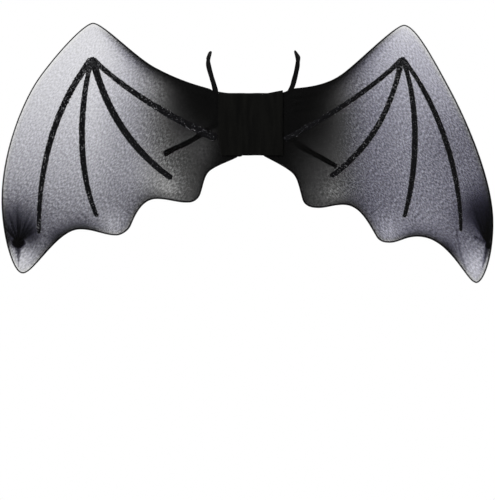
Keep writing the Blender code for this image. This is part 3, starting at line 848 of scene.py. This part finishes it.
def add_inner_face(mesh, thickness):
    """Make the bag a closed wall, and return the corners of its inner face."""
    mesh.normal_update()
    outer = mesh.faces[:]
    inwards = {corner: corner.normal * -thickness for corner in mesh.verts}
    mouth = [edge for edge in mesh.edges if edge.is_boundary]
    copied = bmesh.ops.duplicate(mesh, geom=mesh.verts[:] + mesh.edges[:] + outer)
    partner = {corner: copied["vert_map"][corner] for corner in inwards}
    for corner, inner in partner.items():
        inner.co += inwards[corner]
    bmesh.ops.reverse_faces(mesh, faces=[part for part in copied["geom"]
                                         if isinstance(part, bmesh.types.BMFace)])
    for edge in mouth:
        first, second = edge.verts
        mesh.faces.new((first, second, partner[second], partner[first]))
    bmesh.ops.recalc_face_normals(mesh, faces=mesh.faces[:])
    return list(partner.values())


def stocking(side, outline, finish):
    """A bag of sheer knit round the wire: two layers, joined at the rim, open at the mouth."""
    mesh = bmesh.new()
    mesh.faces.new([mesh.verts.new((p.x, -LAYER_OFFSET, p.y)) for p in outline.points])
    cut_into_squares(mesh, CUT_PITCH)
    knot = flat_point(GATHERS[side])
    halve_squares(mesh, knot, FAN_RADIUS)
    halve_squares(mesh, knot, TOE_RADIUS)
    front = mesh.verts[:] + mesh.edges[:] + mesh.faces[:]
    add_rim(mesh, outline)
    copied = bmesh.ops.duplicate(mesh, geom=front)["geom"]
    back = [part for part in copied if isinstance(part, bmesh.types.BMVert)]
    bmesh.ops.translate(mesh, vec=(0, 2 * LAYER_OFFSET, 0), verts=back)
    bmesh.ops.remove_doubles(mesh, verts=mesh.verts[:], dist=MERGE)
    depth = mesh.verts.layers.float.new("cloth_depth")
    gleam = mesh.verts.layers.float.new("gleam")
    for corner in mesh.verts:
        point = corner.co.xz
        density = density_at(point, side, outline)
        corner[depth] = density * OUTER_SHARE
        corner[gleam] = gleam_at(point, side, outline, density)
        corner.co.y += depth_at(point.x) - proud_at(point, side, outline)
        corner.co.x *= SIDES[side]
    bmesh.ops.recalc_face_normals(mesh, faces=mesh.faces[:])
    for corner in add_inner_face(mesh, KNIT):
        corner[depth] *= INNER_SHARE / OUTER_SHARE
    name = f"stocking_{side}"
    piece = finished(name, to_data(mesh, name), finish, f"wing_membrane_{side}")


# The wires


def wire_loop(side, outline, finish):
    """A smooth closed loop of wire, with its straight inner run under the patch."""
    end = outline.points[-1].y
    top = Vector((WIRE_INSET, ROOT_TOP - WIRE_CORNER, 0))
    bottom = Vector((WIRE_INSET, end + WIRE_CORNER, 0))
    top_corner = Vector((WIRE_INSET, ROOT_TOP, 0))
    bottom_corner = Vector((WIRE_INSET, end, 0))
    lower = interpolate_bezier(outline.points[-1].to_3d(), bottom_corner, bottom_corner,
                               bottom, 8)
    upper = interpolate_bezier(top, top_corner, top_corner, outline.points[0].to_3d(), 8)
    points = outline.points + [p.to_2d() for p in lower[1:]] + [p.to_2d() for p in upper[:-1]]
    name = f"wire_{side}"
    curve = bpy.data.curves.new(name, "CURVE")
    curve.dimensions = "3D"
    curve.bevel_depth = WIRE_LINE
    curve.bevel_resolution = 4
    spline = curve.splines.new("POLY")
    spline.points.add(len(points) - 1)
    for slot, place in zip(spline.points, points):
        slot.co = (SIDES[side] * place.x, depth_at(place.x), place.y, 1.0)
    spline.use_cyclic_u = True
    spline.use_smooth = True
    finished(name, curve, finish, f"wire_frame_{side}")


# The glitter ribs


class RibRoute:
    """The middle line of a rib, with the width and the ragged edges of its strip."""

    def __init__(self, side, row, level, outline):
        start = flat_point(row)
        end = Vector((row.end_out * REACH, upright(row.end_up)))
        slant = abs(turned(row.end_heading).y) * RIB_WIDTH * row.end_width / 2
        end.x = max(end.x, HALF_WIDTH + slant)
        leave = start + turned(row.heading) * row.handle * REACH
        arrive = end - turned(row.end_heading) * row.end_handle * REACH
        curve = interpolate_bezier(start.to_3d(), leave.to_3d(), arrive.to_3d(), end.to_3d(),
                                   RIB_STEPS + 1)
        self.points = [start - turned(row.heading) * RIB_WIDTH * RIB_START]
        self.points += [point.to_2d() for point in curve[1:]]
        self.length = sum((b - a).length for a, b in zip(self.points, self.points[1:]))
        self.side = side
        self.row = row
        self.seed = 10.0 * level
        self.lift = LAYER_OFFSET + KNIT / 2 + RIB_CLEARANCE + RIB_LEVEL * level
        self.outline = outline

    def half_width(self, share, hand):
        """From the middle line to one edge, rounded off at the outer end."""
        row = self.row
        swell = row.mid_width - (row.width + row.end_width) / 2
        width = row.width + (row.end_width - row.width) * share + 4 * swell * share * (1 - share)
        along = share * self.length
        width = (width + MEETING_SWELL * bell(along, MEETING_REACH)) * RIB_WIDTH / 2
        ragged = noise.noise(Vector((along * RIB_WAVES, hand * 5.0, self.seed)))
        ragged += RIB_FINE_SHARE * noise.noise(Vector((along * RIB_FINE_WAVES, hand * 9.0,
                                                       self.seed)))
        left = min(self.length - along, along) / width
        rounding = math.sqrt(max(1 - (1 - left) ** 2, 0.0)) if left < 1 else 1.0
        return width * (1 + RIB_WOBBLE * ragged) * max(rounding, RIB_POINT)

    def place(self, share, hand):
        """A point on the rib's domed face: share runs along it, hand from -1 to 1 across."""
        exact = share * RIB_STEPS
        index = min(int(exact), RIB_STEPS - 1)
        middle = self.points[index].lerp(self.points[index + 1], exact - index)
        point = middle + left_normal(self.points, index) * hand * self.half_width(
            share, math.copysign(1, hand))
        proud = proud_at(point, self.side, self.outline)
        dome = RIB_HEIGHT * math.sqrt(max(1 - hand * hand, 0.0))
        y = depth_at(point.x) - proud - self.lift - dome
        return Vector((SIDES[self.side] * point.x, y, point.y))


def glitter_rib(side, row, level, outline, finish):
    """One rib: a ragged domed bed of glue with flakes strewn over it."""
    route = RibRoute(side, row, level, outline)
    mesh = bmesh.new()
    bmesh.ops.create_grid(mesh, x_segments=RIB_STEPS, y_segments=RIB_COLUMNS, size=0.5)
    for corner in mesh.verts:
        share = corner.co.x + 0.5
        hand = math.sin(corner.co.y * math.pi)
        corner.co = route.place(share, hand)
    bmesh.ops.recalc_face_normals(mesh, faces=mesh.faces[:])
    bmesh.ops.solidify(mesh, geom=mesh.faces[:], thickness=RIB_HEIGHT / 3)
    glint = mesh.verts.layers.float.new("glint")
    dice = random.Random(f"{side} {row.name}")
    flakes = int(route.length * RIB_WIDTH / FLAKE_SHARE)
    for _ in range(flakes):
        share = dice.uniform(0.005, 0.995)
        place = route.place(share, dice.uniform(-FLAKE_SPREAD, FLAKE_SPREAD))
        tilt = Euler((math.radians(90 + dice.gauss(0, FLAKE_TILT)),
                      math.radians(dice.gauss(0, FLAKE_TILT)), dice.uniform(0, math.pi)))
        size = FLAKE_RADIUS * dice.uniform(*FLAKE_SIZES)
        made = bmesh.ops.create_cone(
            mesh, cap_ends=True, segments=FLAKE_SIDES, radius1=size, radius2=size,
            depth=FLAKE_THICKNESS, matrix=Matrix.Translation(place) @ tilt.to_matrix().to_4x4())
        bright = dice.random() < BRIGHT_REST + BRIGHT_START * (1 - share) ** 4
        shine = dice.uniform(*(BRIGHT_SHINE if bright else DULL_SHINE))
        for corner in made["verts"]:
            corner[glint] = shine
    name = f"glitter_{row.name}_{side}"
    data = to_data(mesh, name)
    data.shade_flat()
    finished(name, data, finish, f"rib_{row.name}_{side}")


# The patch and the straps


def patch_profile():
    """The fold's outer face from the front's lower edge over the top to the back's, as y and z."""
    front = -PATCH_DEPTH
    top = HALF_HEIGHT
    turns = PATCH_FOLD_TURNS
    half = PATCH_DEPTH / 2
    round_over = [(-half * (1 + math.cos(math.pi * step / turns)),
                   top - PATCH_ROUNDING * (1 - math.sin(math.pi * step / turns)))
                  for step in range(turns + 1)]
    side_rows = (PATCH_ROWS - turns) // 2
    fall = HALF_HEIGHT + top - PATCH_ROUNDING
    rise = [(front, -HALF_HEIGHT + fall * step / side_rows) for step in range(side_rows)]
    return rise + round_over + [(0.0, z) for _, z in reversed(rise)]


def centre_patch(finish):
    """A felt strip folded over the tops of both wings, with softened, slightly wavy edges."""
    profile = patch_profile()
    mesh = bmesh.new()
    bmesh.ops.create_grid(mesh, x_segments=PATCH_COLUMNS, y_segments=len(profile) - 1,
                          size=0.5)
    for corner in mesh.verts:
        y, z = profile[round((corner.co.y + 0.5) * (len(profile) - 1))]
        x = 2 * corner.co.x * HALF_WIDTH
        side = "left" if x < 0 else "right"
        slant = PATCH_SLANT * (z / HALF_HEIGHT) ** 2 if x < 0 and z < 0 else 0.0
        share = -corner.co.x * 2 if x < 0 else 0.0
        rise = top_rise(side, abs(x)) * smooth_step(0.5 + z / HALF_HEIGHT)
        wave = noise.noise(Vector((x, y, z)) * PATCH_WAVES) * PATCH_DENT
        dent = noise.noise(Vector((x * PATCH_DENTS, 7.0, z * PATCH_DENTS)))
        in_front = PATCH_DENT * max(0.0, dent)
        corner.co = Vector((x + slant * share + wave, y - (in_front if y < ROOT_Y else 0.0),
                            z + rise + wave))
    bmesh.ops.recalc_face_normals(mesh, faces=mesh.faces[:])
    data = to_data(mesh, "felt_patch")
    middle = min(data.polygons, key=lambda face: face.center.y)
    piece = finished("felt_patch", data, finish, "centre_patch")
    add_wall(piece, PATCH_WALL, -1.0 if middle.normal.y < 0 else 1.0)
    soften = piece.modifiers.new("soften", "BEVEL")
    soften.width = PATCH_WALL / 4
    soften.segments = 2
    soften.limit_method = "ANGLE"


def through(points, steps):
    """A smooth route through points, with a number of steps between each two."""
    route = []
    for i in range(len(points) - 1):
        here = points[i]
        there = points[i + 1]
        leave = (there - points[max(i - 1, 0)]) / 6
        arrive = (points[min(i + 2, len(points) - 1)] - here) / 6
        route += interpolate_bezier(here, here + leave, there - arrive, there, steps + 1)[:-1]
    return route + [points[-1]]


def strap_route(side):
    ends = STRAP_ENDS[side]
    points = [Vector((ends.upper_out * HALF_WIDTH, STRAP_Y, ends.upper_up * HALF_HEIGHT))]
    for turn in STRAP_ROUTES[side]:
        points.append(Vector((turn.across * CHEST_HALF_WIDTH, STRAP_Y
                              + turn.forward * (CHEST_DEPTH - STRAP_Y),
                              turn.up * SHOULDER_RISE)))
    points.append(Vector((ends.lower_out * HALF_WIDTH, STRAP_Y, ends.lower_up * HALF_HEIGHT)))
    route = through(points, STRAP_STEPS)
    for place in route:
        past_patch = (place.x - HALF_WIDTH) / STRAP_WIDTH
        beside = smooth_step((past_patch - STRAP_LEVEL) / STRAP_EASE)
        forward = smooth_step((place.y - STRAP_Y) / (STRAP_RISE * CHEST_DEPTH))
        place.y = STRAP_Y + (place.y - STRAP_Y) * max(beside, forward)
    return route


def strap(side, finish):
    """A flat elastic loop over the shoulder and under the arm, with both ends in the patch."""
    route = strap_route(side)
    middle = Vector((0, CHEST_DEPTH / 2, 0))
    mesh = bmesh.new()
    bmesh.ops.create_grid(mesh, x_segments=len(route) - 1, y_segments=STRAP_COLUMNS, size=0.5)
    across = mesh.verts.layers.float.new("across")
    along = mesh.verts.layers.float.new("along")
    travelled = [0.0]
    for start, end in zip(route, route[1:]):
        travelled.append(travelled[-1] + (end - start).length)
    for corner in mesh.verts:
        index = round((corner.co.x + 0.5) * (len(route) - 1))
        hand = corner.co.y * 2
        place = route[index]
        ahead = (route[min(index + 1, len(route) - 1)] - route[max(index - 1, 0)]).normalized()
        off_back = smooth_step((place.y - STRAP_Y) / (STRAP_TURN * CHEST_DEPTH))
        outward = Vector((0, -1, 0)).lerp((place - middle).normalized(), off_back)
        half = ahead.cross(outward).normalized() * STRAP_WIDTH * STRAP_SPREAD / 2
        up = (place.z / SHOULDER_RISE - TWIST_START) / (TWIST_FULL - TWIST_START)
        gone = (place.y / CHEST_DEPTH - TWIST_FADE[0]) / (TWIST_FADE[1] - TWIST_FADE[0])
        twist = TWISTS[side] * smooth_step(up) * smooth_step(1 - gone)
        half = Matrix.Rotation(math.radians(twist), 3, ahead) @ half
        corner.co = (place + half * hand) * Vector((SIDES[side], 1, 1))
        corner[across] = hand
        corner[along] = travelled[index]
    name = f"elastic_strap_{side}"
    piece = finished(name, to_data(mesh, name), finish, f"shoulder_strap_{side}")
    add_wall(piece, STRAP_THICKNESS)
    soften = piece.modifiers.new("soften", "BEVEL")
    soften.width = STRAP_THICKNESS / 4
    soften.segments = 2
    soften.limit_method = "ANGLE"


# The room


def studio():
    """A pale floor far below, a white surround and two soft lights."""
    mesh = bmesh.new()
    bmesh.ops.create_circle(mesh, cap_ends=True, segments=96, radius=FLOOR_RADIUS,
                            matrix=Matrix.Translation((0, 0, FLOOR_Z)))
    floor = bpy.data.objects.new("studio_floor", to_data(mesh, "studio_floor"))
    bpy.context.scene.collection.objects.link(floor)
    floor.data.materials.append(floor_finish())
    world = bpy.data.worlds.new("studio_white")
    world.use_nodes = True
    bpy.context.scene.world = world
    tree = world.node_tree
    seen = node(tree, "ShaderNodeLightPath", output="Is Camera Ray")
    background = tree.nodes["Background"]
    background.inputs["Color"].default_value = (1, 1, 1, 1)
    feed(background.inputs["Strength"], ROOM_LIGHT + seen * (1 - ROOM_LIGHT))
    for lamp in LAMPS:
        data = bpy.data.lights.new(lamp.name, "AREA")
        data.size = lamp.size
        data.energy = lamp.power
        light = bpy.data.objects.new(lamp.name, data)
        bpy.context.scene.collection.objects.link(light)
        light.location = lamp.place
        light.rotation_euler = (VIEW_CENTRE - lamp.place).to_track_quat("-Z", "Y").to_euler()


def camera():
    data = bpy.data.cameras.new("camera")
    data.sensor_width = SENSOR
    data.lens = SENSOR * DISTANCE / VIEW_HEIGHT
    data.clip_end = 3 * DISTANCE
    seen = bpy.data.objects.new("camera", data)
    bpy.context.scene.collection.objects.link(seen)
    seen.location = VIEW_CENTRE + Vector((0, -DISTANCE, 0))
    seen.rotation_euler = (math.radians(90), 0, 0)
    bpy.context.scene.camera = seen
    bpy.context.scene.view_settings.view_transform = "Standard"


def dress():
    knit = sheer_finish()
    coating = wire_finish()
    glitter = glitter_finish()
    elastic = elastic_finish()
    for side in SIDES:
        outline = Outline(side)
        wire_loop(side, outline, coating)
        stocking(side, outline, knit)
        for level, row in enumerate(RIBS[side]):
            glitter_rib(side, row, level, outline, glitter)
        strap(side, elastic)
    centre_patch(felt_finish())


dress()
studio()
camera()
